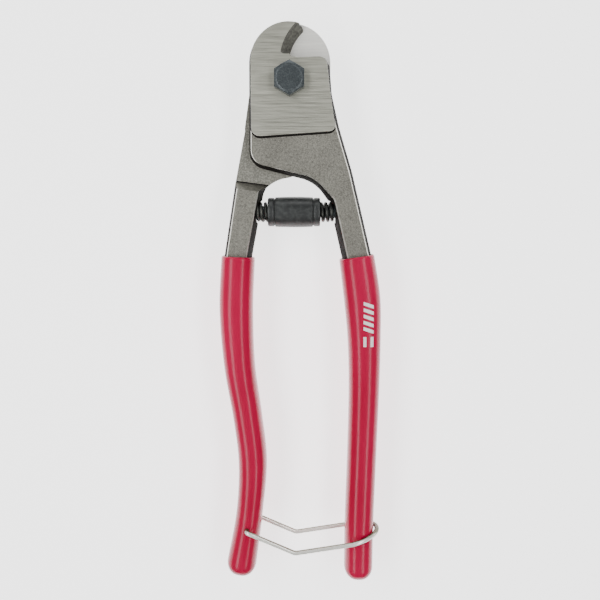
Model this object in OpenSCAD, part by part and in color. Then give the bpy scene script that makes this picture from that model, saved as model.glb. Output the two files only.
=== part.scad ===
// Hand cable cutter: two half-lapped forged arms on one bolt, dipped grips,
// a return spring with a buffer sleeve, and a wire bail that latches the handles shut.
// X across the handles, Y towards the jaws, Z out of the front face.
// The pivot axis is x = y = 0 and the end of the bolt stands on z = 0.

/* [Head] */
// Thickness of one blade, from the shear plane to its ground face
blade_t = 5.5; // [5:0.1:7]
// Half thickness of the forged arms
arm_t = 4.6; // [4:0.1:4.8]
// Radius of the jaw's round back
jaw_r = 13.1; // [12.6:0.1:13.4]
// Sideways draft of the forged flanks, from the parting line to the faces
draft = 1.2; // [0.8:0.1:1.4]
// Radius of the hollow-ground cutting edge
edge_r = 15.5; // [15.3:0.1:15.8]
// Width of the bevel behind the cutting edge
bevel_w = 2.3; // [1.5:0.1:2.5]
// Gap between the two mating faces
mating_gap = 0.04; // [0.02:0.01:0.1]

/* [Pivot] */
// Diameter of the pivot bolt's shank
bolt_d = 6; // [5:0.5:6.5]
// Width across the flats of the bolt head and the nut
hex_af = 10; // [9:0.5:11]
// Height of the bolt head
head_h = 4; // [3:0.1:4.5]
// Height of the self-locking nut
nut_h = 6; // [5:0.1:6.5]
// Length of bolt that stands out of the nut
bolt_out = 0.5; // [0.3:0.1:1.5]
// Diametral play of the arms on the bolt
bolt_play = 0.1; // [0.04:0.01:0.16]

/* [Spring] */
// Distance of the spring's axis from the pivot
spring_y = 42.8; // [42:0.1:44]
// Outer diameter of the spring
spring_d = 6.9; // [6.5:0.1:7]
// Diameter of the spring wire
spring_wire = 1.2; // [1:0.1:1.3]
// Outer diameter of the buffer sleeve
sleeve_d = 9.9; // [9.4:0.1:10.4]
// Length of the buffer sleeve
sleeve_l = 17.6; // [16:0.1:19]

/* [Grips] */
// Thickness of the grips, front to back
grip_t = 14; // [13:0.5:15]
// Thickness of the vinyl over the flanks of the handles
skin = 0.9; // [0.8:0.1:1.2]

/* [Bail] */
// Diameter of the bail's wire
wire_d = 1.6; // [1.4:0.1:1.8]
// Height of the bail's legs above and below the shear plane
leg_z = 9.1; // [9:0.1:9.4]
// Distance from the bail's hinge to the middle of its far bend
bail_reach = 45.5; // [45.4:0.1:46]

/* [Hidden] */
$fn = 64;

shear_z = blade_t + nut_h + bolt_out;
blade_gap = mating_gap / 2;
lap_step = [7.4, -34.1];
lap_turn = 7.3;
jaw_c = [-0.5, 6];
edge_c = [15, 4.8];
throat = [[0.6, 7.4, 0], [2.5, 6.9, 1]];
seat_x = [-11.6, 15.3];
pin_r = 2.1;
pin_in = 3.4;
pin_out = 4.2;
sleeve_x = 1.4;
lock_ring_h = 2;
lock_ring_r = 4;
lock_ring_depth = 0.4;
hinge = [-14.8, -151.8];
bail_angle = -2;
kink = [1.8, -159];
// Lowest point of the bevel, the power of the grips' oval, and the play of a pressed or screwed fit
bevel_y = 8.2;
oval = 0.84;
slack = 0.02;

// Stations of the grips: x, y and width, from the mouth to the centre of the round end
left_stations = [[-17.6, -57.8, 11.3], [-18.4, -76, 11.4], [-17.4, -95.5, 10.5],
                 [-14.8, -113, 9.9], [-13.1, -129.5, 9.8], [-14.3, -147.3, 9.2],
                 [-17.1, -166, 10.2]];
right_stations = [[22.6, -57.8, 11.9], [24.6, -72, 12.4], [25.4, -86, 11.3],
                  [25.5, -103, 10.5], [24.9, -127, 10.1], [24.2, -150, 10],
                  [24, -167.5, 10]];
// Corners of the arms' flanks at the parting line: x, y and corner radius.
// The left arm's are given as it lies face up, before it is turned over.
right_flank = [[13.1, 7.2, 3], [14, -4, 20], [16.4, -14.5, 30], [20.9, -29.4, 40]];
left_flank = [[13.1, 7.2, 3], [13.5, -5, 20], [15, -15.5, 30], [18.4, -33.1, 40]];
shoulder = [-13.6, -27.3, 6];
// The arch over the spring: its radius and its centre under the right arm
arch_r = 12.7;
arch_c = [0.8, -44];

function unit(v) = v / norm(v);
function flat(v) = [v.x, v.y];

// Points of an arc of radius r about c, from angle a to angle b
function arc(c, r, a, b, steps = 16) =
    [for (i = [0 : steps]) let (t = a + (b - a) * i / steps) [c.x + r * cos(t), c.y + r * sin(t), 0]];

// The corner at p between a and b, rounded to the radius p[2]
function corner(a, p, b, steps = 4) =
    let (u = unit(flat(a) - flat(p)), v = unit(flat(b) - flat(p)),
         half = acos(u * v) / 2, reach = p[2] / tan(half),
         c = flat(p) + unit(u + v) * p[2] / sin(half),
         from = flat(p) + u * reach - c, to = flat(p) + v * reach - c,
         start = atan2(from.y, from.x), turn = atan2(from.x * to.y - from.y * to.x, from * to))
    [for (i = [0 : steps]) let (t = start + turn * i / steps) c + p[2] * [cos(t), sin(t)]];

// A closed outline of corners, each rounded to its own radius
function rounded(pts) =
    let (n = len(pts))
    [for (i = [0 : n - 1])
        each pts[i][2] > 0 ? corner(pts[(i + n - 1) % n], pts[i], pts[(i + 1) % n]) : [flat(pts[i])]];

// One point of the smooth curve through four stations, at t from the second to the third
function blend(a, b, c, d, t) =
    (2 * b + (c - a) * t + (2 * a - 5 * b + 4 * c - d) * t * t + (3 * b - a - 3 * c + d) * t * t * t) / 2;

// A smooth curve through all the stations
function curve(s, steps = 3) =
    let (n = len(s))
    [for (i = [0 : n - 2], k = [0 : steps - 1])
        blend(s[max(i - 1, 0)], s[i], s[i + 1], s[min(i + 2, n - 1)], k / steps), s[n - 1]];

// Unit vector to the left of the way that a curve runs at its point i
function side(c, i) =
    let (t = unit(flat(c[min(i + 1, len(c) - 1)]) - flat(c[max(i - 1, 0)]))) [-t.y, t.x];

// The handle bar inside a grip, down one flank, round its end and up the other
function bar(stations) =
    let (c = curve(stations), n = len(c), last = n - 1,
         way = side(c, last), end = c[last])
    concat([for (i = [0 : last]) flat(c[i]) + side(c, i) * (c[i][2] / 2 - skin)],
           [for (a = [30 : 30 : 150])
               flat(end) + (end[2] / 2 - skin) * (way * cos(a) + [way.y, -way.x] * sin(a))],
           [for (i = [last : -1 : 0]) flat(c[i]) - side(c, i) * (c[i][2] / 2 - skin)]);

// Inner side of the handles at the parting line, from the grip up and over the arch
function right_inner() = concat([[13.3, -39.6, 5]], arc(arch_c, arch_r, 32, 75, 8));
function left_inner() = concat([[8.9, -36.8, 3]], arc([-arch_c.x, arch_c.y], arch_r, 46, 84, 8));

// The whole arm at its parting line, clockwise from the left shoulder
function arm_outline(flank, inner, stations) =
    rounded(concat([shoulder], arc(jaw_c, jaw_r, 180, 74, 12), [[3.9, 18.1, 0]],
                   arc(edge_c, edge_r, 133, 167.5, 8), throat, flank,
                   [for (p = bar(stations)) [p.x, p.y, 0]], inner));

// A flat forging whose flanks step in by the draft above and below a middle layer
module forged(outline) {
    middle = 1.6;
    translate([0, 0, -middle]) linear_extrude(2 * middle) polygon(outline);
    translate([0, 0, -arm_t]) linear_extrude(2 * arm_t) offset(delta = -draft) polygon(outline);
}

// A tube of one section swept through rings of points, closed at both ends
module skin_over(rings) {
    n = len(rings[0]);
    m = len(rings);
    polyhedron(
        points = [for (r = rings, p = r) p],
        faces = concat(
            [[for (i = [0 : n - 1]) i]],
            [for (k = [0 : m - 2], i = [0 : n - 1])
                let (a = k * n + i, b = k * n + (i + 1) % n) each [[a, a + n, b], [b, a + n, b + n]]],
            [[for (i = [n - 1 : -1 : 0]) (m - 1) * n + i]]));
}

// The ground blade: the jaw and the square plate round the bolt
function blade_outline() =
    rounded(concat(arc([-0.3, 6], 12.2, 180, 72, 12), arc(edge_c, edge_r, 135, 167.5, 8), throat,
                   [[12, 7.2, 2.6], [13, -2, 20], [15.2, -16.4, 1.8], [-12.5, -18.3, 2.7]]));

module blade() {
    translate([0, 0, blade_gap]) linear_extrude(blade_t - blade_gap) polygon(blade_outline());
}

// Hollow-ground bevel that leaves the cutting edge on the shear plane
module bevel_cut() {
    far = 30;
    intersection() {
        translate([edge_c.x, edge_c.y, -bevel_w])
            cylinder(h = 3 * blade_t, r1 = edge_r - bevel_w * bevel_w / blade_t,
                     r2 = edge_r + bevel_w * (3 * blade_t - bevel_w) / blade_t, $fn = 96);
        translate([0, 0, -blade_t]) linear_extrude(4 * blade_t)
            polygon([[-far, far], [-far, bevel_y], [-0.2, bevel_y], flat(throat[0]), flat(throat[1]),
                     [far, throat[1].y], [far, far]]);
    }
}

// Everything of the other arm's half of the head, with a sloped step at the handle
module lap_cut() {
    far = 80;
    slope = 2.4;
    translate([lap_step.x, lap_step.y, 0]) rotate(lap_turn) rotate([90, 0, 90])
        translate([0, 0, -far / 2]) linear_extrude(far)
            polygon([[0, blade_gap], [far, blade_gap], [far, -far / 4],
                     [-slope * far / 4 / arm_t, -far / 4]]);
}

// Hole for a spring pin with its spot face; way is 1 towards +X
module pin_seat(x, way) {
    translate([x, -spring_y, 0]) rotate([0, way * 90, 0]) {
        translate([0, 0, -pin_in]) cylinder(h = pin_in + 1, r = pin_r);
        cylinder(h = 8, r = spring_d / 2 + 0.4);
    }
}

// One forged arm lying face up, with its half of the head above the shear plane
module arm(flank, inner, stations) {
    difference() {
        union() {
            forged(arm_outline(flank, inner, stations));
            blade();
        }
        bevel_cut();
        lap_cut();
        translate([0, 0, -2 * blade_t]) cylinder(h = 4 * blade_t, d = bolt_d + bolt_play);
    }
}

function flipped(stations) = [for (s = stations) [-s.x, s.y, s[2]]];

module front_arm() {
    color([0.62, 0.62, 0.58]) difference() {
        arm(right_flank, right_inner(), right_stations);
        pin_seat(seat_x[1], -1);
    }
}

module rear_arm() {
    color([0.55, 0.54, 0.5]) difference() {
        rotate([0, 180, 0]) arm(left_flank, left_inner(), flipped(left_stations));
        pin_seat(seat_x[0], 1);
        hinge_hole();
    }
}

module hexagon(h, af) rotate(30) cylinder(h = h, r = af / sqrt(3), $fn = 6);

// A hexagon with its corners turned off to a cone at the far end
module turned_hexagon(h, af) {
    r = af / sqrt(3);
    turn = 0.55;
    intersection() {
        hexagon(h, af);
        rotate_extrude() polygon([[0, 0], [r, 0], [r, h - turn], [af * 0.45, h], [0, h]]);
    }
}

module pivot_bolt() {
    color([0.3, 0.32, 0.33]) {
        translate([0, 0, blade_t]) turned_hexagon(head_h, hex_af);
        translate([0, 0, -shear_z]) rotate_extrude()
            polygon([[0, 0], [bolt_d / 2 - 0.5, 0], [bolt_d / 2, 0.5], [bolt_d / 2, shear_z + blade_t + 0.5],
                     [0, shear_z + blade_t + 0.5]]);
    }
}

module pivot_nut() {
    color([0.3, 0.32, 0.33]) translate([0, 0, -blade_t]) rotate([180, 0, 0]) difference() {
        turned_hexagon(nut_h, hex_af);
        translate([0, 0, -1]) cylinder(h = nut_h + 2, d = bolt_d + slack);
        translate([0, 0, nut_h - lock_ring_h - lock_ring_depth]) cylinder(h = lock_ring_h, r = lock_ring_r);
    }
}

module nut_lock_ring() {
    color([0.2, 0.3, 0.6]) translate([0, 0, -blade_t - nut_h + lock_ring_depth]) difference() {
        cylinder(h = lock_ring_h, r = lock_ring_r);
        translate([0, 0, -1]) cylinder(h = lock_ring_h + 2, d = bolt_d + slack);
    }
}

module along_spring(x) translate([x, -spring_y, 0]) rotate([0, 90, 0]) children();

module return_spring() {
    color([0.12, 0.13, 0.13]) along_spring(seat_x[0]) difference() {
        cylinder(h = seat_x[1] - seat_x[0], d = spring_d);
        translate([0, 0, -1]) cylinder(h = seat_x[1] - seat_x[0] + 2, d = spring_d - 2 * spring_wire);
    }
}

module buffer_sleeve() {
    r = sleeve_d / 2;
    bore = spring_d / 2 + 0.2;
    band = 2.2;
    groove = 0.35;
    l = sleeve_l;
    color([0.16, 0.18, 0.18]) along_spring(sleeve_x - l / 2) rotate_extrude()
        polygon([[bore, 0], [r - 0.5, 0], [r - 0.1, 0.4], [r - 0.1, band - groove], [r - 0.4, band],
                 [r, band + groove], [r, l - band - groove], [r - 0.4, l - band],
                 [r - 0.1, l - band + groove], [r - 0.1, l - 0.4], [r - 0.5, l], [bore, l]]);
}

// Pin that is pressed into a handle and holds one end of the spring
module spring_pin() {
    color([0.3, 0.3, 0.3]) translate([0, 0, -pin_in]) rotate_extrude()
        polygon([[0, 0], [pin_r, 0], [pin_r, pin_in + pin_out - 0.8], [pin_r - 0.8, pin_in + pin_out],
                 [0, pin_in + pin_out]]);
}

module left_spring_pin() along_spring(seat_x[0]) spring_pin();

module right_spring_pin() along_spring(seat_x[1]) rotate([180, 0, 0]) spring_pin();

// Section of a grip: a squared-off oval across the curve's point i, shrunk by the factor k
function grip_ring(c, i, k, shift = 0, count = 24) =
    let (s = side(c, i), t = [s.y, -s.x], w = k * c[i][2] / 2, h = k * grip_t / 2)
    [for (j = [0 : count - 1])
        let (a = 360 * j / count, x = sign(cos(a)) * pow(abs(cos(a)), oval),
             z = sign(sin(a)) * pow(abs(sin(a)), oval), p = flat(c[i]) + s * w * x + t * shift)
        [p.x, p.y, h * z]];

// A dipped grip round one handle bar, open at the mouth and round at the end
module grip(stations) {
    c = curve(stations);
    last = len(c) - 1;
    r = c[last][2] / 2;
    skin_over(concat(
        [grip_ring(c, 0, 0.93)],
        [for (i = [0 : last]) grip_ring(c, i, 1, i == 0 ? 0.6 : 0)],
        [for (a = [20 : 17.5 : 72.5]) grip_ring(c, last, cos(a), r * sin(a))],
        [grip_ring(c, last, 0.12, r)]));
}

// The space that a handle bar fills inside its grip
module bar_space(stations) {
    c = bar(stations);
    mouth = side(curve(stations), 0);
    up = [-mouth.y, mouth.x] * -3;
    forged(concat([c[0] - up], c, [c[len(c) - 1] - up]));
}

module hinge_hole() {
    translate([hinge.x, hinge.y, -grip_t]) cylinder(h = 2 * grip_t, d = wire_d + 0.1);
}

module left_grip() {
    color([0.75, 0.14, 0.27]) difference() {
        grip(left_stations);
        bar_space(left_stations);
        hinge_hole();
    }
}

module right_grip() {
    color([0.75, 0.14, 0.27]) difference() {
        grip(right_stations);
        bar_space(right_stations);
    }
}

// Ring of the wire's section across the way u at p
function wire_ring(p, u, count = 10) =
    let (b = unit(cross(u, [0, 1, 0])), n = cross(b, u))
    [for (j = [0 : count - 1]) let (a = -360 * j / count) p + wire_d / 2 * (b * cos(a) + n * sin(a))];

// Half of the bail, from the hinge to the middle of the far bend
function half_bail() =
    let (far = hinge + bail_reach * [cos(bail_angle), sin(bail_angle)], bend = leg_z,
         foot = [far.x - bend, far.y - 2.4])
    concat([[each hinge, 3], [each hinge, leg_z - 0.8], [hinge.x + 0.25, hinge.y - 0.1, leg_z - 0.2]],
           [for (t = [0.06, 0.45, 0.85]) [each hinge * (1 - t) + kink * t, leg_z]],
           [[kink.x, kink.y + 0.35, leg_z]],
           [for (t = [0.15, 0.6]) [each kink * (1 - t) + foot * t, leg_z]],
           [for (a = [0 : 15 : 90])
               [foot.x + bend * sin(a), foot.y + (far.y - foot.y) * sin(a), leg_z * cos(a)]]);

module latch_bail() {
    half = half_bail();
    n = len(half);
    path = concat(half, [for (i = [n - 2 : -1 : 0]) [half[i].x, half[i].y, -half[i].z]]);
    m = len(path);
    color([0.85, 0.84, 0.78]) skin_over([for (i = [0 : m - 1])
        wire_ring(path[i], unit(path[min(i + 1, m - 1)] - path[max(i - 1, 0)]))]);
}

module raised() translate([0, 0, shear_z]) children();

raised() front_arm();
raised() rear_arm();
raised() pivot_bolt();
raised() pivot_nut();
raised() nut_lock_ring();
raised() return_spring();
raised() buffer_sleeve();
raised() left_spring_pin();
raised() right_spring_pin();
raised() left_grip();
raised() right_grip();
raised() latch_bail();
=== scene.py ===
"""Hand cable cutter: detailed surfaces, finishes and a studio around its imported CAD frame.

Lengths are in millimetres about the pivot, with Z counted from the shear plane between the arms, until place() makes
them metres. The tool lies face up: X across the handles, Y towards the jaws, Z out of the front face.
"""
import logging
from dataclasses import dataclass, field
from enum import Enum, IntEnum

import bmesh
import bpy
import numpy as np
from mathutils import Matrix, Vector


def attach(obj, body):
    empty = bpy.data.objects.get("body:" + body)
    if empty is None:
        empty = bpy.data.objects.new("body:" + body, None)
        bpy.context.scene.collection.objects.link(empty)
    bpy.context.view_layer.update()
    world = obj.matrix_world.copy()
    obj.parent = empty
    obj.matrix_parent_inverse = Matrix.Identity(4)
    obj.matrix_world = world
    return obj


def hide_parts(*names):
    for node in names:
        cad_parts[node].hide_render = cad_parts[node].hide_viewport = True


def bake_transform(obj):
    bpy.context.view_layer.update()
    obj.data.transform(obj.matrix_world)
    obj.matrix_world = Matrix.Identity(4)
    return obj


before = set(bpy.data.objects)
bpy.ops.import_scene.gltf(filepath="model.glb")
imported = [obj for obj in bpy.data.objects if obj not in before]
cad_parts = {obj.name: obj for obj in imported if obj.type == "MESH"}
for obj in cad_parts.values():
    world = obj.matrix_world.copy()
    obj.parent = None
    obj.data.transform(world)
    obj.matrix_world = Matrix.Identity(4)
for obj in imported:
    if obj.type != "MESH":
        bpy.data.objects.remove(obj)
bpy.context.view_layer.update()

LOG = logging.getLogger("cable_cutter")
MM = 0.001
SHEAR_Z = 12.0
CHAMFER_ANGLE = 28.0
Points = np.ndarray
Socket = bpy.types.NodeSocket
Corner = tuple[float, float, float]
Colour = tuple[float, float, float, float]


class Hand(Enum):
    """Which way an arm lies."""

    FRONT = "blade above the shear plane"
    REAR = "turned over about Y, blade below the shear plane"


class Face(IntEnum):
    """Which finish a face of an arm takes."""

    GROUND = 0
    MATING = 1
    BLASTED = 2
    # Near-black sides: partly forge scale, partly painted shade.
    FLANK = 3
    # Ground steel, coloured dark grey as painted shade.
    BEVEL = 4
    # Bright edge bands: partly real wear, partly painted highlight.
    EDGE = 5


# ---------------------------------------------------------------- curves


def smooth_curve(stations: Points, steps: int) -> Points:
    """Catmull-Rom curve through all stations: each span is a cubic with the neighbours' chord as its end slope.

    Args:
        stations: (n, k) rows of values, the first two being x and y.
        steps: samples in each span.

    Returns:
        The (m, k) samples, ends included.
    """
    s = np.vstack([stations[:1], stations, stations[-1:]]).astype(float)
    t = np.linspace(0, 1, steps, endpoint=False)[None, :, None]
    a, b, c, d = (s[i:len(s) - 3 + i, None, :] for i in range(4))
    spans = 0.5 * (2 * b + (c - a) * t + (2 * a - 5 * b + 4 * c - d) * t**2 + (3 * b - a - 3 * c + d) * t**3)
    return np.vstack([spans.reshape(-1, s.shape[1]), stations[-1:]])


def arc(centre: tuple[float, float], radius: float, start: float, end: float, count: int) -> Points:
    """Points centre + radius (cos t, sin t) for t from start to end.

    Args:
        centre: x and y of the centre.
        radius: radius of the arc.
        start: first angle in degrees.
        end: last angle in degrees.
        count: how many points.

    Returns:
        The (count, 2) points.
    """
    t = np.radians(np.linspace(start, end, count))
    return np.stack([centre[0] + radius * np.cos(t), centre[1] + radius * np.sin(t)], 1)


def sharp(points: Points) -> list[Corner]:
    """Points as outline corners of radius 0.

    Args:
        points: (n, 2) points.

    Returns:
        One x, y, radius for each point.
    """
    return [(x, y, 0.0) for x, y in points]


def rounded(corners: list[Corner], steps: int = 7) -> Points:
    """A closed outline whose corners are arcs tangent to both sides.

    Args:
        corners: x, y and corner radius of each corner, in order; radius 0 keeps the point.
        steps: samples on each arc.

    Returns:
        The outline's points.
    """
    out = []
    n = len(corners)
    for i, (x, y, r) in enumerate(corners):
        p = np.array([x, y])
        if r <= 0:
            out.append(p[None])
            continue
        u, v = (np.array(corners[(i + k) % n][:2]) - p for k in (-1, 1))
        u, v = u / np.linalg.norm(u), v / np.linalg.norm(v)
        half = np.arccos(np.clip(u @ v, -1, 1)) / 2
        c = p + (u + v) / np.linalg.norm(u + v) * r / np.sin(half)
        a, b = p + u * r / np.tan(half) - c, p + v * r / np.tan(half) - c
        start = np.arctan2(a[1], a[0])
        turn = np.arctan2(a[0] * b[1] - a[1] * b[0], a @ b)
        t = start + turn * np.linspace(0, 1, steps)
        out.append(c + r * np.stack([np.cos(t), np.sin(t)], 1))
    return np.vstack(out)


def unit(vectors: Points) -> Points:
    """Rows scaled to length 1.

    Args:
        vectors: (n, k) rows.

    Returns:
        The unit rows.
    """
    return vectors / np.linalg.norm(vectors, axis=1, keepdims=True)


def left_of(ways: Points) -> Points:
    """Each direction turned a quarter to its left: (x, y) becomes (-y, x).

    Args:
        ways: (n, 2) directions.

    Returns:
        The (n, 2) turned directions.
    """
    return np.stack([-ways[:, 1], ways[:, 0]], 1)


def outward(outline: Points) -> Points:
    """Unit vectors out of a closed clockwise outline, square to the chord between each point's neighbours.

    Args:
        outline: (n, 2) points.

    Returns:
        One (x, y) direction for each point.
    """
    return left_of(unit(np.roll(outline, -1, 0) - np.roll(outline, 1, 0)))


def around(count: int) -> Points:
    """Even angles once round a circle.

    Args:
        count: how many.

    Returns:
        The angles in radians, from 0.
    """
    return np.linspace(0, 2 * np.pi, count, endpoint=False)


# ---------------------------------------------------------------- meshes


def place(points: Points) -> Points:
    """Millimetres about the pivot and the shear plane become metres in the row frame.

    Args:
        points: (..., 3) points.

    Returns:
        The same points in metres, Z from the bolt's end.
    """
    return (np.asarray(points, float) + [0, 0, SHEAR_Z]) * MM


def finish_shading(mesh: bpy.types.Mesh, smooth: float | None) -> None:
    """Shade a mesh smooth, with sharp edges above an angle.

    Args:
        mesh: the mesh.
        smooth: that angle in degrees; None keeps all faces flat.
    """
    if smooth is None:
        mesh.shade_flat()
        return
    mesh.shade_smooth()
    mesh.set_sharp_from_angle(angle=np.radians(smooth))


def new_object(name: str, points: Points, faces: list, smooth: float | None) -> bpy.types.Object:
    """A mesh object from points in millimetres.

    Args:
        name: the object's name.
        points: (n, 3) corners.
        faces: corner numbers of each face, outward by the right-hand rule.
        smooth: edges sharper than this many degrees stay sharp, and None keeps all faces flat.

    Returns:
        The linked object.
    """
    mesh = bpy.data.meshes.new(name)
    mesh.from_pydata(place(points).tolist(), [], faces)
    mesh.update()
    finish_shading(mesh, smooth)
    obj = bpy.data.objects.new(name, mesh)
    bpy.context.scene.collection.objects.link(obj)
    return obj


def face_outwards(obj: bpy.types.Object) -> None:
    """Turn all faces of a closed mesh outwards.

    Args:
        obj: the object that holds the mesh.
    """
    work = bmesh.new()
    work.from_mesh(obj.data)
    bmesh.ops.recalc_face_normals(work, faces=work.faces)
    work.to_mesh(obj.data)
    work.free()


def grid_faces(rows: int, cols: int) -> Points:
    """Quads of a grid of rings: row i, column j at corner i * cols + j, columns closed into a ring.

    Args:
        rows: rings.
        cols: points on each ring.

    Returns:
        (n, 4) corner numbers.
    """
    i, j = np.meshgrid(np.arange(rows - 1), np.arange(cols), indexing="ij")
    a, b = i * cols + j, i * cols + (j + 1) % cols
    return np.stack([a, b, b + cols, a + cols], -1).reshape(-1, 4)


def rings_about_z(radii: Points, heights: Points) -> Points:
    """Rings whose point j stands at (r cos t, r sin t, h), with t going evenly once round.

    Args:
        radii: (rows, cols) distance of every point from the axis.
        heights: (rows, cols) or (rows, 1) heights.

    Returns:
        (rows, cols, 3) rings.
    """
    t = around(radii.shape[1])
    return np.stack([radii * np.cos(t), radii * np.sin(t), np.broadcast_to(heights, radii.shape)], -1)


def turned_rings(profile: Points, count: int) -> Points:
    """Plain circles about Z, one for each row of a profile.

    Args:
        profile: (rows, 2) of radius and height.
        count: points on each circle.

    Returns:
        (rows, count, 3) rings.
    """
    profile = np.asarray(profile, float)
    return rings_about_z(np.repeat(profile[:, :1], count, 1), profile[:, 1:])


def lay_along_x(rings: Points) -> Points:
    """Turn rings about Z into rings about X: (x, y, z) becomes (z, x, y).

    Args:
        rings: (..., 3) points.

    Returns:
        The turned points.
    """
    return rings[..., [2, 0, 1]]


def capped_rings(rings: Points) -> tuple[Points, list]:
    """A closed surface over rings of points, each end fanned to its own middle.

    Args:
        rings: (rows, cols, 3) rings that run anticlockwise seen against the way they follow.

    Returns:
        Corners and faces.
    """
    rows, cols = rings.shape[:2]
    points = np.vstack([rings.reshape(-1, 3), rings[0].mean(0), rings[-1].mean(0)])
    k = np.arange(cols)
    following = (k + 1) % cols
    start, end, last = rows * cols, rows * cols + 1, (rows - 1) * cols
    faces = grid_faces(rows, cols).tolist()
    faces += np.stack([following, k, np.full(cols, start)], 1).tolist()
    faces += np.stack([last + k, last + following, np.full(cols, end)], 1).tolist()
    return points, faces


def looped_rings(name: str, rings: Points, smooth: float) -> bpy.types.Object:
    """A bored body: rings whose last one joins back to the first, so the surface closes like a tyre.

    Args:
        name: the object's name.
        rings: (rows, cols, 3) rings, once round the section.
        smooth: edges sharper than this many degrees stay sharp.

    Returns:
        The object.
    """
    rows, cols = rings.shape[:2]
    faces = grid_faces(rows + 1, cols) % (rows * cols)
    obj = new_object(name, rings.reshape(-1, 3), faces.tolist(), smooth)
    face_outwards(obj)
    return obj


def swept_rings(path: Points, radius: float, count: int, up: Corner) -> Points:
    """Circles square to a path: p + r (b cos t + n sin t), with b = path direction x up and n = direction x b.

    Args:
        path: (m, 3) points.
        radius: radius of the circles.
        count: points on each circle.
        up: a direction that the path never runs along.

    Returns:
        (m, count, 3) rings.
    """
    way = unit(np.gradient(path, axis=0))
    b = unit(np.cross(way, np.array(up, float)))
    n = np.cross(way, b)
    t = around(count)[:, None]
    return path[:, None] + radius * (b[:, None] * np.cos(t) + n[:, None] * np.sin(t))


def slab(outlines: list[Points], heights: list[float]) -> tuple[Points, list]:
    """A solid between stacked clockwise outlines of equal length, with a flat face at each end.

    Args:
        outlines: (n, 2) outlines, lowest first.
        heights: one height for each outline.

    Returns:
        Corners and faces: the walls from the lowest up, then the bottom and the top.
    """
    n = len(outlines[0])
    points = np.vstack([np.column_stack([o, np.full(n, z)]) for o, z in zip(outlines, heights)])
    faces = grid_faces(len(outlines), n)[:, ::-1].tolist()
    top = (len(outlines) - 1) * n
    return points, faces + [list(range(n)), list(range(top + n - 1, top - 1, -1))]


def combine(base: bpy.types.Object, other: bpy.types.Object, operation: str) -> None:
    """Join or cut an object with another by a manifold boolean, applied at once, and remove the other.

    Args:
        base: the object that stays.
        other: the object that is used up.
        operation: "UNION" or "DIFFERENCE".
    """
    mod = base.modifiers.new("shape", "BOOLEAN")
    mod.operation = operation
    mod.solver = "MANIFOLD"
    mod.object = other
    bpy.context.view_layer.update()
    graph = bpy.context.evaluated_depsgraph_get()
    mesh = bpy.data.meshes.new_from_object(base.evaluated_get(graph), preserve_all_data_layers=True, depsgraph=graph)
    base.modifiers.clear()
    base.data = mesh
    bpy.data.objects.remove(other, do_unlink=True)


def seat(obj: bpy.types.Object, body: str, node: str, finish: bpy.types.Material) -> bpy.types.Object:
    """Give a piece its finish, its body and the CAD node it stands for.

    Args:
        obj: the piece.
        body: the body it rides on.
        node: the CAD node it replaces.
        finish: its material.

    Returns:
        The same piece.
    """
    obj.data.materials.append(finish)
    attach(obj, body)
    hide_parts(node)
    return obj


# ---------------------------------------------------------------- finishes


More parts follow.
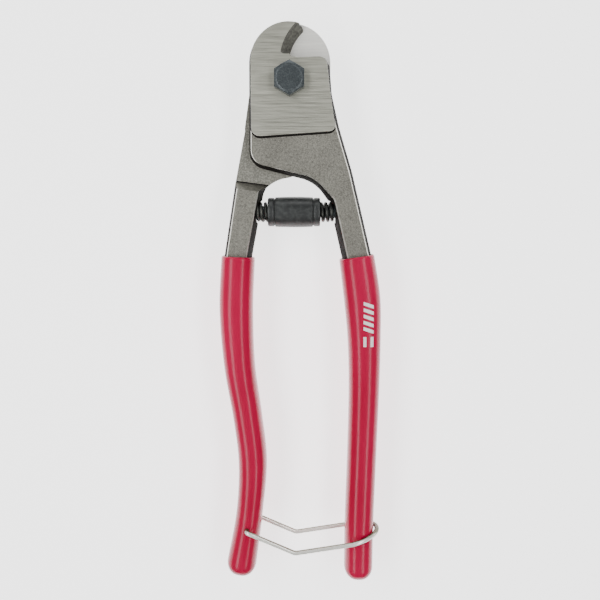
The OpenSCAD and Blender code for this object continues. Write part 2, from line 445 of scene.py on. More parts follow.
class Sheet:
    """A material under construction: one Principled shader and short calls for the nodes that feed it."""

    def __init__(self, name: str, values: dict[str, object]) -> None:
        """Start a material.

        Args:
            name: the material's name.
            values: what to set on the shader's own sockets.
        """
        self.material = bpy.data.materials.new(name)
        self.material.use_nodes = True
        self.tree = self.material.node_tree
        self.shader = self.tree.nodes["Principled BSDF"]
        for key, value in values.items():
            self.shader.inputs[key].default_value = value
        self.coords = self.tree.nodes.new("ShaderNodeTexCoord").outputs["Object"]

    def node(self, kind: str, inputs: dict | None = None, **settings: object) -> bpy.types.Node:
        """Add a node, set its properties and link or set its inputs.

        Args:
            kind: the node's type.
            inputs: a socket to link or a value to set, for each input.
            **settings: the node's own properties.

        Returns:
            The node.
        """
        made = self.tree.nodes.new(kind)
        for key, value in settings.items():
            setattr(made, key, value)
        for key, value in (inputs or {}).items():
            if isinstance(value, Socket):
                self.tree.links.new(value, made.inputs[key])
            else:
                made.inputs[key].default_value = value
        return made

    def noise(self, scale: float, stretch: Corner = (1, 1, 1), detail: float = 2.0, rough: float = 0.55) -> Socket:
        """Noise over object coordinates.

        Args:
            scale: features per metre.
            stretch: a factor on the scale for each axis.
            detail: how many finer layers.
            rough: how strong the finer layers are.

        Returns:
            The noise, about 0 to 1.
        """
        mapped = self.node("ShaderNodeMapping", {"Vector": self.coords, "Scale": stretch}).outputs[0]
        return self.node("ShaderNodeTexNoise", {"Vector": mapped, "Scale": scale, "Detail": detail,
                                                "Roughness": rough}).outputs[0]

    def ramp(self, value: Socket, low: float, high: float, to_low: float = 0.0, to_high: float = 1.0) -> Socket:
        """Map a value from one range onto another, clamped.

        Args:
            value: what to map.
            low: start of its range.
            high: end of its range.
            to_low: what the start becomes.
            to_high: what the end becomes.

        Returns:
            The mapped value.
        """
        return self.node("ShaderNodeMapRange", {"Value": value, "From Min": low, "From Max": high,
                                                "To Min": to_low, "To Max": to_high}).outputs[0]

    def math(self, operation: str, a: object, b: object = 0.0) -> Socket:
        """One math node.

        Args:
            operation: Blender's name of the operation.
            a: first value or socket.
            b: second value or socket, where the operation has one.

        Returns:
            The result.
        """
        return self.node("ShaderNodeMath", {0: a, 1: b}, operation=operation).outputs[0]

    def blend(self, layers: list[tuple[Socket, float]]) -> Socket:
        """Weighted sum of values.

        Args:
            layers: each value and its weight.

        Returns:
            The sum.
        """
        total = None
        for value, weight in layers:
            part = self.math("MULTIPLY", value, weight)
            total = part if total is None else self.math("ADD", total, part)
        return total

    def between(self, value: Socket, low: float, high: float) -> Socket:
        """1 where a place in metres lies between two limits in millimetres, else 0.

        Args:
            value: the place.
            low: lower limit.
            high: upper limit.

        Returns:
            The factor.
        """
        return self.math("MULTIPLY", self.math("GREATER_THAN", value, low * MM),
                         self.math("LESS_THAN", value, high * MM))

    def mix(self, factor: Socket, a: Socket | Colour, b: Socket | Colour) -> Socket:
        """Blend two colours.

        Args:
            factor: 0 gives a, and 1 gives b.
            a: first colour.
            b: second colour.

        Returns:
            The colour.
        """
        made = self.node("ShaderNodeMix", data_type="RGBA")
        factor_in, a_in, b_in, colour_out = 0, 6, 7, 2
        for index, value in ((factor_in, factor), (a_in, a), (b_in, b)):
            if isinstance(value, Socket):
                self.tree.links.new(value, made.inputs[index])
            else:
                made.inputs[index].default_value = value
        return made.outputs[colour_out]

    def feed(self, socket: str, value: Socket) -> None:
        """Link a value to the shader.

        Args:
            socket: name of the shader's input.
            value: what feeds it.
        """
        self.tree.links.new(value, self.shader.inputs[socket])

    def bump(self, *heights: tuple[Socket, float]) -> None:
        """Chain bump nodes into the shader's normal.

        Args:
            *heights: each a height and its depth in millimetres.
        """
        normal = None
        for height, depth in heights:
            inputs = {"Height": height, "Distance": depth * MM, "Strength": 1.0}
            if normal is not None:
                inputs["Normal"] = normal
            normal = self.node("ShaderNodeBump", inputs).outputs[0]
        self.feed("Normal", normal)


def dimmed(colour: Colour, share: float) -> Colour:
    """A colour scaled in brightness.

    Args:
        colour: the full colour.
        share: how much of it stays.

    Returns:
        The dimmer colour.
    """
    return tuple(share * c for c in colour[:3]) + (1,)


@dataclass(frozen=True)
class GroundSteel:
    """Steel ground in fine parallel lines across the tool. Scales are features per metre."""

    name: str
    light: Colour
    dark: Colour
    lines: float = 3400.0
    strokes: float = 1500.0
    patches: float = 70.0
    roughness: float = 0.42

    def make(self) -> bpy.types.Material:
        """Long thin noise along X gives the grinding lines, in colour, roughness and height.

        Returns:
            The material.
        """
        sheet = Sheet(self.name, {"Metallic": 0.85, "Specular IOR Level": 0.5})
        fine = sheet.noise(self.lines, (0.03, 1.0, 0.4))
        coarse = sheet.noise(self.strokes, (0.04, 1.0, 0.3))
        cloud = sheet.noise(self.patches, detail=3.0)
        tone = sheet.blend([(fine, 0.55), (coarse, 0.3), (cloud, 0.25)])
        sheet.feed("Base Color", sheet.mix(sheet.ramp(tone, 0.35, 0.75), self.dark, self.light))
        sheet.feed("Roughness", sheet.ramp(fine, 0.3, 0.7, self.roughness - 0.07, self.roughness + 0.07))
        sheet.bump((fine, 0.012), (coarse, 0.02))
        return sheet.material


@dataclass(frozen=True)
class MatingSteel:
    """The lapped face of an arm: ground at the jaw, where its near-white colour is partly a painted highlight, and
    left as blasted towards the handle.

    The change runs from start to end along Y, in millimetres.
    """

    name: str
    bright: Colour
    dull: Colour
    start: float = -3.0
    end: float = 2.0
    lines: float = 1500.0
    grain: float = 1900.0

    def make(self) -> bpy.types.Material:
        """A ramp along Y mixes the two; fine noise speckles the dull part and lines the bright one.

        Returns:
            The material.
        """
        sheet = Sheet(self.name, {"Metallic": 0.3, "Specular IOR Level": 0.5})
        along = sheet.node("ShaderNodeSeparateXYZ", {"Vector": sheet.coords}).outputs[1]
        share = sheet.ramp(along, self.start * MM, self.end * MM)
        lines = sheet.noise(self.lines, (0.05, 1.0, 0.4))
        grit = sheet.noise(self.grain, rough=0.6)
        dull = sheet.mix(sheet.ramp(grit, 0.4, 0.7), dimmed(self.dull, 0.5), self.dull)
        # Near-white at the jaw: polished steel, brightened further as a painted highlight.
        bright = sheet.mix(sheet.ramp(lines, 0.3, 0.7), dimmed(self.bright, 0.88), self.bright)
        sheet.feed("Base Color", sheet.mix(share, dull, bright))
        sheet.feed("Roughness", sheet.ramp(share, 0.0, 1.0, 0.5, 0.34))
        sheet.bump((sheet.math("MULTIPLY", grit, sheet.math("SUBTRACT", 1.0, share)), 0.04), (lines, 0.006))
        return sheet.material


@dataclass(frozen=True)
class BlastedSteel:
    """Grit-blasted forging: matt grey-brown steel with a fine speckle; its darker copies carry painted shade on flanks
    and bevel. Grain is in features per metre.
    """

    name: str
    light: Colour
    dark: Colour
    grain: float = 3000.0
    roughness: float = 0.5
    metallic: float = 0.75
    specular: float = 0.5
    depth: float = 0.03

    def make(self) -> bpy.types.Material:
        """Two sizes of noise give the speckle; a slow one shades the forging unevenly.

        Returns:
            The material.
        """
        sheet = Sheet(self.name, {"Metallic": self.metallic, "Specular IOR Level": self.specular})
        grit = sheet.noise(self.grain, rough=0.6)
        pits = sheet.noise(self.grain * 0.42, rough=0.5)
        cloud = sheet.noise(60.0, detail=3.0)
        tone = sheet.blend([(grit, 0.6), (pits, 0.3), (cloud, 0.25)])
        sheet.feed("Base Color", sheet.mix(sheet.ramp(tone, 0.42, 0.74), self.dark, self.light))
        sheet.feed("Roughness", sheet.ramp(pits, 0.3, 0.7, self.roughness - 0.08, self.roughness + 0.1))
        sheet.bump((grit, self.depth), (pits, self.depth))
        return sheet.material


@dataclass(frozen=True)
class PrintedBars:
    """Plain white bars on a grip's front: a row of slanted strokes, then two short stripes. Millimetres.

    The strokes lean, so their limits along the grip are on y + lean x.
    """

    left: float = 24.7
    right: float = 28.1
    lean: float = 0.35
    pitch: float = 2.1
    inked: float = 0.55
    strokes: tuple[float, float] = (-73.5, -63.0)
    stripes: tuple[float, float] = (-87.8, -84.4)
    stripe_gap: float = 0.7

    def factor(self, sheet: Sheet) -> Socket:
        """A square wave along the leaning Y, kept inside a box, and two stripes beside the box's middle.

        Args:
            sheet: the material under construction.

        Returns:
            1 on the ink and 0 elsewhere.
        """
        x, y, z = sheet.node("ShaderNodeSeparateXYZ", {"Vector": sheet.coords}).outputs
        leaning = sheet.math("ADD", y, sheet.math("MULTIPLY", x, self.lean))
        wave = sheet.math("FRACT", sheet.math("DIVIDE", leaning, self.pitch * MM))
        across = sheet.between(x, self.left, self.right)
        strokes = sheet.math("MULTIPLY", across, sheet.between(leaning, *self.strokes))
        strokes = sheet.math("MULTIPLY", sheet.math("LESS_THAN", wave, self.inked), strokes)
        middle = (self.left + self.right) / 2
        aside = sheet.math("ABSOLUTE", sheet.math("SUBTRACT", x, middle * MM))
        stripes = sheet.math("MULTIPLY", sheet.math("GREATER_THAN", aside, self.stripe_gap * MM), across)
        stripes = sheet.math("MULTIPLY", stripes, sheet.between(y, *self.stripes))
        front = sheet.math("GREATER_THAN", z, SHEAR_Z * MM)
        return sheet.math("MULTIPLY", sheet.math("MAXIMUM", strokes, stripes), front)


@dataclass(frozen=True)
class DippedVinyl:
    """Glossy dipped vinyl with slow sags in its surface, and printed bars on one grip."""

    name: str
    bars: PrintedBars | None = None
    deep: Colour = (0.37, 0.001, 0.032, 1)
    light: Colour = (0.46, 0.004, 0.052, 1)
    ink: Colour = (0.86, 0.84, 0.84, 1)

    def make(self) -> bpy.types.Material:
        """Slow noise varies the red and the surface, and the bars are laid over it.

        Returns:
            The material.
        """
        sheet = Sheet(self.name, {"Roughness": 0.23, "IOR": 1.34, "Specular IOR Level": 0.5})
        sags = sheet.noise(45.0, (1.6, 0.5, 1.6), 3.0)
        skin = sheet.noise(900.0)
        red = sheet.mix(sheet.ramp(sags, 0.3, 0.7), self.deep, self.light)
        if self.bars:
            red = sheet.mix(self.bars.factor(sheet), red, self.ink)
        sheet.feed("Base Color", red)
        sheet.bump((sags, 0.10), (skin, 0.004))
        return sheet.material


@dataclass(frozen=True)
class NickelWire:
    """Bright nickel on drawn wire, with painted shade down the sides that turn away from the top."""

    name: str
    bright: Colour
    side_shade: Colour

    def make(self) -> bpy.types.Material:
        """The share of the surface normal along Z picks painted shade on the sides and bright plating where the wire
        faces up or down.

        Returns:
            The material.
        """
        sheet = Sheet(self.name, {"Metallic": 0.5, "Roughness": 0.26, "Specular IOR Level": 0.5})
        normal = sheet.node("ShaderNodeNewGeometry").outputs["Normal"]
        up = sheet.node("ShaderNodeSeparateXYZ", {"Vector": normal}).outputs[2]
        share = sheet.ramp(sheet.math("ABSOLUTE", up), 0.40, 0.80)
        # Painted shade: where the wire's normal lies near the floor, its colour turns dark.
        sheet.feed("Base Color", sheet.mix(share, self.side_shade, self.bright))
        sheet.bump((sheet.noise(500.0, detail=3.0), 0.003))
        return sheet.material


@dataclass(frozen=True)
class Coated:
    """A plain coating or plating with slight wear and unevenness. Scale is in features per metre."""

    name: str
    base: Colour
    worn: Colour
    metallic: float
    roughness: float
    scale: float = 700.0
    depth: float = 0.01

    def make(self) -> bpy.types.Material:
        """Fine noise sets the texture, and its peaks show the worn colour.

        Returns:
            The material.
        """
        sheet = Sheet(self.name, {"Metallic": self.metallic, "Specular IOR Level": 0.5})
        fine = sheet.noise(self.scale, detail=3.0)
        cloud = sheet.noise(self.scale * 0.15)
        tone = sheet.blend([(fine, 0.85), (cloud, 0.15)])
        sheet.feed("Base Color", sheet.mix(sheet.ramp(tone, 0.45, 0.72), self.base, self.worn))
        sheet.feed("Roughness", sheet.ramp(cloud, 0.3, 0.7, self.roughness - 0.05, self.roughness + 0.08))
        sheet.bump((fine, self.depth))
        return sheet.material


# ---------------------------------------------------------------- arms


@dataclass
class Arm:
    """One forged arm: blade, half-lapped cheek, tang and the bar inside its grip.

    It is drawn as a front arm, blade up and handle to the right. Drafts are how far the faces stand in from the
    parting line. Sizes in millimetres, angles in degrees.
    """

    name: str
    node: str
    body: str
    hand: Hand
    flank: list[Corner]
    crotch: list[Corner]
    arch: tuple[float, float, float]
    stations: Points
    inner_draft: float
    seat_x: float
    finishes: dict[Face, bpy.types.Material]
    thick: float = 4.6
    blade: float = 5.5
    outer_draft: float = 1.15
    cheek_draft: float = 0.85
    edge_draft: float = 0.05
    gap: float = 0.02
    skin: float = 0.95
    jaw_centre: tuple[float, float] = (-0.5, 6.0)
    jaw_radius: float = 13.0
    plate_centre: tuple[float, float] = (-0.3, 6.0)
    plate_radius: float = 12.25
    edge_centre: tuple[float, float] = (15.0, 4.8)
    edge_radius: float = 15.5
    edge_foot: float = 167.5
    throat: Corner = (0.6, 7.4, 0.0)
    throat_top: float = 6.6
    arch_y: float = -44.0
    arch_radius: float = 12.7
    bevel: float = 2.9
    heel_y: float = 8.15
    step_foot: tuple[float, float] = (7.4, -34.1)
    step_tilt: float = 7.3
    step_run: float = 2.4
    bore: float = 3.05
    pin_seat: float = 3.85
    seat_y: float = -42.8
    sharp_angle: float = 30.0

    def bar(self) -> tuple[Points, Points]:
        """Both flanks of the bar inside the grip: centreline plus and minus half its width along its normal.

        Returns:
            The outer flank from the mouth down, and the inner one back up.
        """
        c = smooth_curve(self.stations, 4)
        side = left_of(unit(np.gradient(c[:, :2], axis=0))) * (c[:, 2:] / 2 - self.skin)
        return c[:, :2] + side, (c[:, :2] - side)[::-1]

    def outline(self) -> Points:
        """The arm at its parting line, clockwise from the shoulder under the jaw.

        Returns:
            The (n, 2) outline.
        """
        outer, inner = self.bar()
        side, start, end = self.arch
        closed = [(-13.6, -27.3, 6.0)] + sharp(arc(self.jaw_centre, self.jaw_radius, 180, 76, 22))
        closed += [(3.7, 18.25, 0.0), (4.15, 17.55, 0.0), (4.35, 16.9, 0.0)]
        closed += sharp(arc(self.edge_centre, self.edge_radius, 133, self.edge_foot, 14))
        closed += [self.throat, (2.5, 6.9, 1.0)] + self.flank + sharp(outer) + sharp(inner) + self.crotch
        closed += sharp(arc((side, self.arch_y), self.arch_radius, start, end, 12))
        return rounded(closed)

    def draft(self, outline: Points) -> Points:
        """Draft of each outline point: one value for each flank, eased over five points where they meet.

        Args:
            outline: the arm at its parting line.

        Returns:
            One draft for each point.
        """
        x, y = outline[:, 0], outline[:, 1]
        bar_top, bar_end = self.stations[0][0], self.stations[-1][0]
        middle = np.interp(y, [-172, -60, -40, -28], [bar_end, bar_top, 14.0, 2.0])
        draft = np.where((x < middle) & (y < -33), self.inner_draft, self.outer_draft)
        draft = np.where((x < 0) & (y > -34), self.cheek_draft, draft)
        draft = np.where(self.on_edge(outline), self.edge_draft, draft)
        weights = np.array([1, 2, 3, 2, 1]) / 9
        eased = np.convolve(np.r_[draft[-2:], draft, draft[:2]], weights, "valid")
        return np.where(draft == self.edge_draft, draft, eased)

    def on_edge(self, points: Points) -> Points:
        """Find the cutting edge and the throat under it.

        Args:
            points: (n, 2) outline points.

        Returns:
            True for each point that lies on them.
        """
        reach = np.hypot(points[:, 0] - self.edge_centre[0], points[:, 1] - self.edge_centre[1])
        return (reach < self.edge_radius + 0.3) & (points[:, 1] > self.throat_top)

    def blade_outline(self) -> Points:
        """The ground blade seen from its face: jaw and the square plate round the bolt.

        Returns:
            The (n, 2) outline, clockwise.
        """
        jaw = arc(self.plate_centre, self.plate_radius, 180, 74, 20)
        edge = arc(self.edge_centre, self.edge_radius, 135, self.edge_foot, 14)
        corners = sharp(jaw) + sharp(edge) + [self.throat, (2.5, 6.95, 1.0), (12.0, 7.2, 2.6), (13.0, -2.0, 20.0)]
        return rounded(corners + [(15.1, -16.45, 1.9), (-12.45, -18.3, 2.8)])

    def dress(self, obj: bpy.types.Object, kinds: Points | Face) -> bpy.types.Object:
        """Give a mesh all of the arm's finishes.

        Args:
            obj: the object.
            kinds: the Face of each face, or one for all.

        Returns:
            The same object.
        """
        for kind in Face:
            obj.data.materials.append(self.finishes[kind])
        kinds = np.broadcast_to(np.asarray(kinds, np.int32), len(obj.data.polygons))
        obj.data.polygons.foreach_set("material_index", np.ascontiguousarray(kinds))
        return obj

    def forging(self) -> bpy.types.Object:
        """The drafted forging: six stacked outlines, drawn in by the draft and rounded at the faces.

        Returns:
            The object.
        """
        outline = self.outline()
        inset = outward(outline) * self.draft(outline)[:, None]
        rounding, parting = 0.3, 0.3
        levels = [(-self.thick, 1.25), (-self.thick + rounding, 1.0), (-parting, 0.03), (parting, 0.03),
                  (self.thick - rounding, 1.0), (self.thick, 1.25)]
        points, faces = slab([outline - inset * share for _, share in levels], [z for z, _ in levels])
        # The rounded bands take the bright edge finish, partly wear and partly painted highlight along the edges; the
        # drafted sides take the near-black flank finish, partly painted shade.
        walls = [Face.EDGE, Face.FLANK, Face.FLANK, Face.FLANK, Face.EDGE]
        kinds = np.r_[np.repeat(walls, len(outline)), Face.BLASTED, Face.BLASTED]
        return self.dress(new_object(self.name, points, faces, self.sharp_angle), kinds)

    def plate(self) -> bpy.types.Object:
        """The ground blade, whose dark wall slopes out to the forging, most at its lower edge, as a painted shadow
        under the raised plate.

        Returns:
            The object.
        """
        outline = self.blade_outline()
        out = outward(outline)
        # Painted shadow: the wall slopes out most along the lower edge and takes the near-black flank finish, in place
        # of the plate's shadow.
        shadow_flare = np.where(self.on_edge(outline), 0.0, 0.22 + 0.5 * np.clip(-out[:, 1], 0, 1))
        edge = 0.12
        levels = [(self.gap, 1.0), (self.thick, 1.0), (self.blade - edge, 0.12), (self.blade, 0.0)]
        stack = [outline + out * (shadow_flare * share)[:, None] for _, share in levels]
        points, faces = slab(stack, [z for z, _ in levels])
        # The top chamfer takes the bright edge finish, partly wear and partly painted highlight round the plate.
        kinds = np.r_[np.repeat([Face.FLANK, Face.FLANK, Face.EDGE], len(outline)), Face.MATING, Face.GROUND]
        return self.dress(new_object("blade", points, faces, self.sharp_angle), kinds)

    def lap_cutter(self) -> bpy.types.Object:
        """A wedge under the shear plane: its near end slopes down the step, with a small groove at its foot.

        Returns:
            The cutter.
        """
        far, drop, deep, wide, reach = 90.0, 40.0, 0.25, 0.4, 60.0
        slope = -self.step_run * drop / self.thick
        profile = np.array([[0, self.gap + deep], [wide, self.gap + deep], [wide, self.gap], [far, self.gap],
                            [far, -drop], [slope, -drop], [0, self.gap]])
        # The groove's walls take the near-black flank finish, painted shade in the corner of the step.
        kinds = [Face.FLANK, Face.FLANK, Face.MATING, Face.BLASTED, Face.BLASTED, Face.BLASTED, Face.FLANK]
        tilt = np.radians(self.step_tilt)
        along, across = np.array([-np.sin(tilt), np.cos(tilt)]), np.array([np.cos(tilt), np.sin(tilt)])
        foot = np.array(self.step_foot)
        ends = np.stack([np.column_stack([foot + across * s + profile[:, :1] * along, profile[:, 1]])
                         for s in (-reach, reach)])
        n = len(profile)
        faces = [list(range(n)), list(range(2 * n - 1, n - 1, -1))] + grid_faces(2, n).tolist()
        cutter = new_object("lap", ends.reshape(-1, 3), faces, self.sharp_angle)
        face_outwards(self.dress(cutter, [Face.BLASTED] * 2 + kinds))
        return cutter

    def bevel_cutter(self) -> bpy.types.Object:
        """A cone round the hollow edge's centre, closed by a flat heel above the throat.

        Returns:
            The cutter.
        """
        heights, heel_radius, heel_angle = [-4.0, 9.0], 0.9, 4.5
        stack = []
        for z in heights:
            radius = self.edge_radius + self.bevel * z / self.blade
            end = np.degrees(np.arcsin((self.heel_y - self.edge_centre[1]) / radius))
            side = arc(self.edge_centre, radius, 180 - end - heel_angle, end, 50)
            heel = arc(self.edge_centre, radius, 180 - end, 180 - end, 1)[0]
            stack.append(rounded([(heel[0], heel[1], heel_radius)] + sharp(side)))
        points, faces = slab(stack, heights)
        cutter = self.dress(new_object("bevel", points, faces, self.sharp_angle), Face.BEVEL)
        face_outwards(cutter)
        return cutter

    def drill(self, radius: float, start: float, end: float, centre: Corner, along_x: bool) -> bpy.types.Object:
        """A plain round cutter.

        Args:
            radius: its radius.
            start: where it begins along its axis.
            end: where it ends.
            centre: where 0 lies on its axis.
            along_x: lay it along X, else along Z.

        Returns:
            The cutter.
        """
        rings = turned_rings([(radius, start), (radius, end)], 48)
        if along_x:
            rings = lay_along_x(rings)
        points, faces = capped_rings(rings + np.array(centre, float))
        return self.dress(new_object("drill", points, faces, self.sharp_angle), Face.FLANK)

    def build(self) -> bpy.types.Object:
        """The arm lying face up: forging and blade less lap, bevel, bore and pin seat; the rear one turned over.

        Returns:
            The finished piece.
        """
        arm = self.forging()
        combine(arm, self.plate(), "UNION")
        bore = self.drill(self.bore, -20.0, 20.0, (0, 0, 0), False)
        pin_seat = self.drill(self.pin_seat, -10.0, 0.0, (self.seat_x, self.seat_y, 0), True)
        for cutter in (self.lap_cutter(), self.bevel_cutter(), bore, pin_seat):
            combine(arm, cutter, "DIFFERENCE")
        finish_shading(arm.data, self.sharp_angle)
        if self.hand is Hand.REAR:
            middle = Matrix.Translation((0, 0, SHEAR_Z * MM))
            arm.data.transform(middle @ Matrix.Rotation(np.pi, 4, "Y") @ middle.inverted())
        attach(arm, self.body)
        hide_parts(self.node)
        return arm


# ---------------------------------------------------------------- fasteners


@dataclass
class Pivot:
    """The pivot's bolt and self-locking nut, with their hexagons' corners on +Y and -Y. Sizes in millimetres."""

    flats: float = 9.7
    head: float = 4.0
    head_rim: float = 0.86
    nut: float = 6.0
    nut_hexagon: float = 4.3
    collar: float = 4.7
    shank: float = 3.0
    bore: float = 3.05
    blade: float = 5.5
    bolt_end: float = -12.0
    thread_pitch: float = 1.0
    thread_depth: float = 0.28
    thread_start: float = 8.7
    count: int = 96

    def hexagon(self) -> Points:
        """Distance from the axis to the hexagon's side: half the flats over the cosine from the nearest flat.

        Returns:
            One distance for each point of a ring.
        """
        sixth = np.pi / 3
        turned = (around(self.count) - np.pi / 2 + sixth / 2) % sixth - sixth / 2
        return (self.flats / 2) / np.cos(sixth / 2 - np.abs(turned))

    def shoulder(self, height: float, rim: float) -> Points:
        """Height of the cone that turns off the hexagon's corners: it falls outside the rim at the chamfer's angle.

        Args:
            height: height at the rim.
            rim: radius of the flat circle.

        Returns:
            One height for each point of a ring.
        """
        return height - np.maximum(self.hexagon() - rim, 0) * np.tan(np.radians(CHAMFER_ANGLE))

    def rings(self, rows: list[tuple[Points | float, Points | float]]) -> Points:
        """Rings from pairs of radius and height, each one value or one for every point.

        Args:
            rows: the pairs.

        Returns:
            (rows, count, 3) rings.
        """
        spread = np.array([[np.broadcast_to(v, self.count) for v in row] for row in rows])
        return rings_about_z(spread[:, 0], spread[:, 1])

    def head_surface(self) -> tuple[Points, list]:
        """The hexagon head from the middle of its underside, over the chamfer, to a shallow dish on top.

        Returns:
            Corners and faces.
        """
        side, rim, top = self.hexagon(), self.head_rim * self.flats / 2, self.head
        shoulder = self.shoulder(top, rim)
        rows = [(side * 0.2, 0.0), (side - 0.15, 0.0), (side, 0.15), (side, shoulder - 0.08),
                (side - 0.1, shoulder + 0.02), (rim + 0.1, top - 0.05), (rim - 0.08, top),
                (3.95, top), (3.8, top - 0.07), (1.5, top - 0.08), (0.3, top - 0.08)]
        return capped_rings(self.rings(rows) + [0, 0, self.blade])

    def shank_surface(self) -> tuple[Points, list]:
        """A round bar whose radius dips in a triangle wave along the thread, up into the head.

        Returns:
            Corners and faces.
        """
        depth = np.linspace(self.bolt_end + 0.2, -0.2, 160)
        wave = np.abs((depth / self.thread_pitch) % 1.0 - 0.5) * 2
        groove = np.where(depth < -self.thread_start, self.thread_depth * wave, 0.0)
        inside_head = self.blade + 0.5
        rows = np.vstack([[0.1, self.bolt_end], [self.shank - 0.6, self.bolt_end],
                          np.column_stack([self.shank - groove, depth])[:-1],
                          [self.shank, inside_head], [0.1, inside_head]])
        return capped_rings(turned_rings(rows, self.count))

    def bolt(self, finish: bpy.types.Material) -> bpy.types.Object:
        """Head and shank of the bolt in one mesh.

        Args:
            finish: its coating.

        Returns:
            The finished piece.
        """
        head, head_faces = self.head_surface()
        shank, shank_faces = self.shank_surface()
        faces = head_faces + [[i + len(head) for i in face] for face in shank_faces]
        obj = new_object("pivot_bolt_detailed", np.vstack([head, shank]), faces, 24.0)
        return seat(obj, "right_half", "pivot_bolt", finish)

    def locknut(self, finish: bpy.types.Material) -> bpy.types.Object:
        """Hexagon with a round collar that holds the nylon ring, bored through.

        Args:
            finish: its coating.

        Returns:
            The finished piece.
        """
        side = self.hexagon()
        rows = [(self.bore, 0.0), (side - 0.3, 0.0), (side, 0.2), (side, self.shoulder(self.nut_hexagon, self.collar)),
                (self.collar, self.nut_hexagon), (self.collar, self.nut - 0.7), (self.collar - 0.3, self.nut - 0.2),
                (4.05, self.nut), (3.95, self.nut - 0.1), (3.9, self.nut - 0.35), (self.bore, 3.6)]
        rings = self.rings(rows) * [1, 1, -1] - [0, 0, self.blade]
        obj = looped_rings("pivot_nut_detailed", rings, 24.0)
        return seat(obj, "right_half", "pivot_nut", finish)


# ---------------------------------------------------------------- spring


@dataclass
class SpringUnit:
    """Return spring, and the buffer sleeve that slides on it. Sizes in millimetres."""

    y: float = -42.8
    left: float = -11.6
    right: float = 15.3
    wire: float = 1.2
    outer: float = 6.9
    turns: float = 17.0
    waist: float = 0.95
    waist_half: float = 8.0
    sleeve_middle: float = 1.4
    sleeve_length: float = 17.6
    sleeve_radius: float = 4.95
    sleeve_play: float = 0.8

    def coil(self, finish: bpy.types.Material) -> bpy.types.Object:
        """A helix about X that closes up over its last turns and has a waist inside the sleeve.

        Args:
            finish: the wire's coating.

        Returns:
            The finished piece, which stretches from the right half to the left one.
        """
        run = self.turns * np.linspace(0, 1, int(self.turns * 22))
        opened = np.clip(np.minimum(run, self.turns - run), 0, 1)
        pitch = np.cumsum(0.42 + 0.58 * opened)
        pitch = (pitch - pitch[0]) / (pitch[-1] - pitch[0])
        x = self.left + self.wire / 2 + (self.right - self.left - self.wire) * pitch
        waist = self.waist * np.clip(1 - ((x - self.sleeve_middle) / self.waist_half) ** 2, 0, 1)
        r = (self.outer - self.wire) / 2 * (0.86 + 0.14 * opened) - waist
        t = 2 * np.pi * run
        path = np.stack([x, self.y + r * np.cos(t), r * np.sin(t)], 1)
        points, faces = capped_rings(swept_rings(path, self.wire / 2, 10, (1, 0, 0)))
        obj = new_object("return_spring_coil", points, faces, 60.0)
        face_outwards(obj)
        obj.data.materials.append(finish)
        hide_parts("return_spring")
        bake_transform(obj)
        return obj

    def sleeve(self, finish: bpy.types.Material) -> bpy.types.Object:
        """A tube with a crowned middle between two end bands, each set off by a groove.

        Args:
            finish: the rubber.

        Returns:
            The finished piece.
        """
        h, r = self.sleeve_length / 2, self.sleeve_radius
        bore = self.outer / 2 + self.sleeve_play
        band = [(bore, 0.2), (bore + 0.12, 0.0), (r - 0.45, 0.0), (r - 0.22, 0.15), (r - 0.12, 0.5), (r - 0.12, 1.9),
                (r - 0.2, 2.05), (r - 0.45, 2.15), (r - 0.45, 2.35), (r - 0.15, 2.45)]
        left = np.array(band) - [0, h]
        along = np.linspace(-h + 2.6, h - 2.6, 9)
        crown = np.column_stack([r - 0.1 + 0.3 * np.cos(along / h * np.pi / 2), along])
        profile = np.vstack([left, crown, left[::-1] * [1, -1]])
        rings = lay_along_x(turned_rings(profile, 72)) + [self.sleeve_middle, self.y, 0]
        obj = looped_rings("buffer_sleeve_moulded", rings, 38.0)
        return seat(obj, "buffer", "buffer_sleeve", finish)


# ---------------------------------------------------------------- grips


@dataclass
class Grip:
    """One dipped grip: a squared-off oval carried along the handle's centreline. Sizes in millimetres.

    Each row of rim is a share of the full section and how far down from the mouth it stands.
    """

    name: str
    node: str
    body: str
    stations: Points
    thick: float = 14.0
    power: float = 0.8
    rim: tuple[tuple[float, float], ...] = ((0.55, 2.5), (0.80, 1.6), (0.875, 0.5), (0.91, 0.12), (0.95, 0.0),
                                            (0.982, 0.22), (0.997, 0.7))

    def rings(self, rows: Points, ways: Points, scale: Points, shift: Points) -> Points:
        """Rings of the squared-off oval: across = w cos^p a and deep = h sin^p a, square to the way ahead.

        Args:
            rows: (m, 3) x, y and width of each ring.
            ways: (m, 2) unit directions along the handle.
            scale: share of the full section for each ring.
            shift: how far each ring is moved along its way.

        Returns:
            (m, 56, 3) rings.
        """
        a = around(56)
        across = np.sign(np.cos(a)) * np.abs(np.cos(a)) ** self.power
        deep = np.sign(np.sin(a)) * np.abs(np.sin(a)) ** self.power
        half = (rows[:, 2] / 2 * scale)[:, None, None]
        flat = rows[:, None, :2] + left_of(ways)[:, None] * half * across[:, None]
        flat = flat + ways[:, None] * shift[:, None, None]
        return np.concatenate([flat, ((self.thick / 2 * scale)[:, None] * deep)[..., None]], -1)

    def build(self, finish: bpy.types.Material) -> bpy.types.Object:
        """The grip from inside its mouth, over the rolled rim, along the handle and round its end.

        Args:
            finish: the vinyl.

        Returns:
            The finished piece.
        """
        c = smooth_curve(self.stations, 10)
        share, down = np.array(self.rim).T
        tip = np.radians(np.linspace(6, 88, 12))
        scale = np.concatenate([share, np.ones(len(c) - 1), np.cos(tip)])
        shift = np.concatenate([down, np.zeros(len(c) - 1), c[-1, 2] / 2 * np.sin(tip)])
        rows = np.vstack([np.repeat(c[:1], len(share), 0), c[1:], np.repeat(c[-1:], len(tip), 0)])
        ways = np.vstack([np.repeat((c[1] - c[0])[None], len(share), 0), np.gradient(c, axis=0)[1:],
                          np.repeat((c[-1] - c[-2])[None], len(tip), 0)])
        points, faces = capped_rings(self.rings(rows, unit(ways[:, :2]), scale, shift))
        obj = new_object(self.name, points, faces, 70.0)
        face_outwards(obj)
        return seat(obj, self.body, self.node, finish)


# ---------------------------------------------------------------- bail


